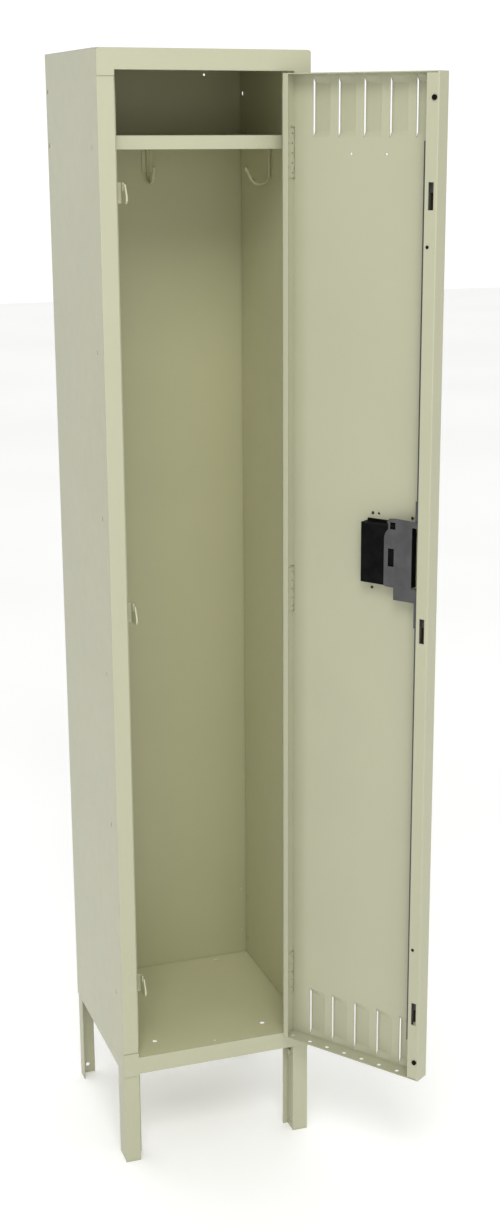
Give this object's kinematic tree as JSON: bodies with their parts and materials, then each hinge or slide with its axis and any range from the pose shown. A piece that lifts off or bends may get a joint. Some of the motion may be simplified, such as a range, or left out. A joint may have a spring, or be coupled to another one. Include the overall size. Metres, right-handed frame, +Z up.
{
  "type": "school locker",
  "caption": "Tall single-door steel locker on legs, with a hinged louvred door, a recessed lift latch, a hat shelf and coat hooks inside.",
  "frame": {"origin": "centre of the case's footprint on the floor, half the case's width and depth from its sides", "axes": "+Z up, -Y out of the door opening, +X to the hinge side; the door stands open at rest"},
  "size_m": [0.4197, 0.5251, 1.6764],
  "materials": {
    "enamel": "baked putty-coloured enamel, low sheen with fine orange peel",
    "pin_steel": "plain drawn steel wire",
    "latch_steel": "dark grey coated steel strip",
    "cup_plastic": "black moulded plastic, light grain",
    "cup_rivet_steel": "small steel rivet heads",
    "guide_steel": "dark shouldered rivets",
    "bumper_rubber": "black moulded rubber"
  },
  "bodies": {
    "case": {"left_upright": "enamel", "right_upright": "enamel", "header_rail": "enamel", "sill_rail": "enamel", "left_side_panel": "enamel", "right_side_panel": "enamel", "back_panel": "enamel", "top_panel": "enamel", "floor_panel": "enamel", "hat_shelf": "enamel", "left_rear_leg": "enamel", "right_rear_leg": "enamel", "frame_hook_top": "enamel", "frame_hook_middle": "enamel", "frame_hook_bottom": "enamel", "coat_hook_left": "enamel", "coat_hook_right": "enamel", "coat_hook_rear": "enamel", "coat_hook_rivets": "enamel", "corner_rivets": "enamel", "left_side_rivets": "enamel", "right_side_rivets": "enamel", "leg_bolts": "enamel", "hinge_top_frame_leaf": "enamel", "hinge_middle_frame_leaf": "enamel", "hinge_bottom_frame_leaf": "enamel", "hinge_top_pin": "pin_steel", "hinge_middle_pin": "pin_steel", "hinge_bottom_pin": "pin_steel"},
    "door": {"door_panel": "enamel", "hinge_top_door_leaf": "enamel", "hinge_middle_door_leaf": "enamel", "hinge_bottom_door_leaf": "enamel", "hinge_rivets": "enamel", "door_bumpers": "bumper_rubber", "upper_bar_guide": "guide_steel", "lower_bar_guide": "guide_steel", "handle_cup": "cup_plastic", "cup_rivets": "cup_rivet_steel", "padlock_hasp": "latch_steel"},
    "latch": {"latch_bar": "latch_steel", "lift_bracket": "latch_steel", "lift_handle": "latch_steel", "latch_rivets": "latch_steel"}
  },
  "joints": [
    {"name": "door_hinge", "type": "hinge", "parent": "case", "child": "door", "pos_m": [0.1261, -0.1538, 0.9144], "axis": [0, 0, 1], "range_deg": [-125, 50]},
    {"name": "latch_lift", "type": "slide", "parent": "door", "child": "latch", "axis": [0, 0, 1], "range_m": [0, 0.012]}
  ]
}
